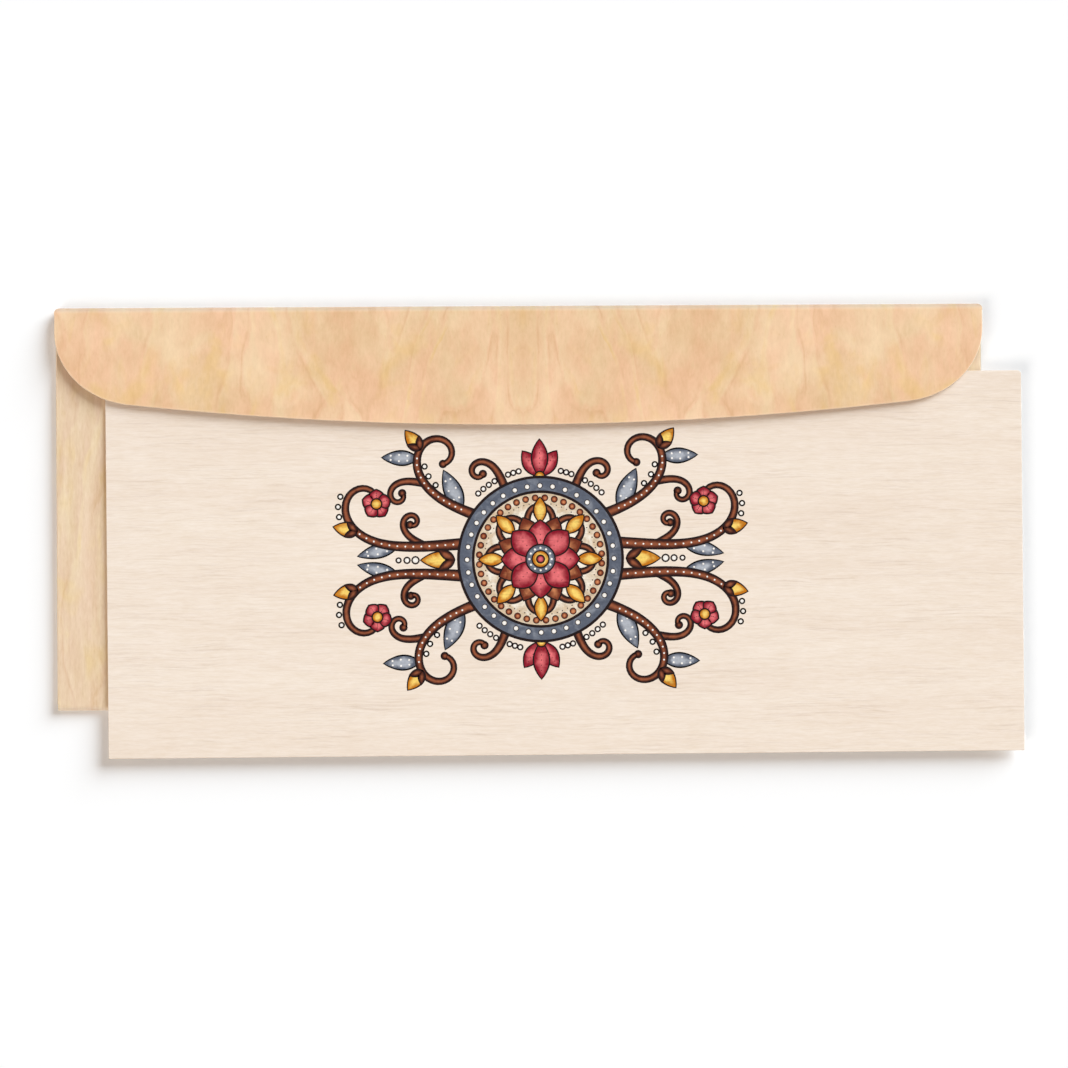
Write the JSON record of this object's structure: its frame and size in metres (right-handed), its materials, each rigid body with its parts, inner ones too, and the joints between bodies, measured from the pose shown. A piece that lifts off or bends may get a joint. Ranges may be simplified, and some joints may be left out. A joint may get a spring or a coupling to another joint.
{
  "type": "wooden envelope",
  "caption": "Flat long envelope of folded wood veneer with a hinged closing flap, and a stiff veneer card that draws out from under the flap.",
  "frame": {"origin": "centre of the closed envelope's back face, on the surface that it lies on", "axes": "+X to the right along the flap's fold, +Y towards the flap's fold, +Z out of the front, where the flap and the card are"},
  "size_m": [0.2518, 0.1173, 0.0053],
  "materials": {
    "natural_veneer": "sanded maple or birch veneer, matt, vertical grain with a cathedral figure",
    "folded_veneer": "the same veneer bent round the fold, matt",
    "inner_veneer": "inner face of the veneer, matt",
    "whitened_veneer": "whitened veneer, matt, fine grain along the card's length, with a printed ornament"
  },
  "bodies": {
    "envelope": {"back_panel": "natural_veneer", "front_panel": "natural_veneer", "left_side_tab": "inner_veneer", "right_side_tab": "inner_veneer", "left_side_fold": "folded_veneer", "right_side_fold": "folded_veneer", "bottom_fold": "folded_veneer", "flap_fold": "folded_veneer"},
    "flap": {"closing_flap": "natural_veneer"},
    "card": {"card": "whitened_veneer"}
  },
  "joints": [
    {"name": "flap_hinge", "type": "hinge", "parent": "envelope", "child": "flap", "pos_m": [0, 0.05075, 0.00165], "axis": [-1, 0, 0], "range_deg": [0, 176], "deforming": ["flap_fold"]},
    {"name": "card_slide", "type": "slide", "parent": "envelope", "child": "card", "axis": [0, -1, 0], "range_m": [0, 0.087]}
  ]
}
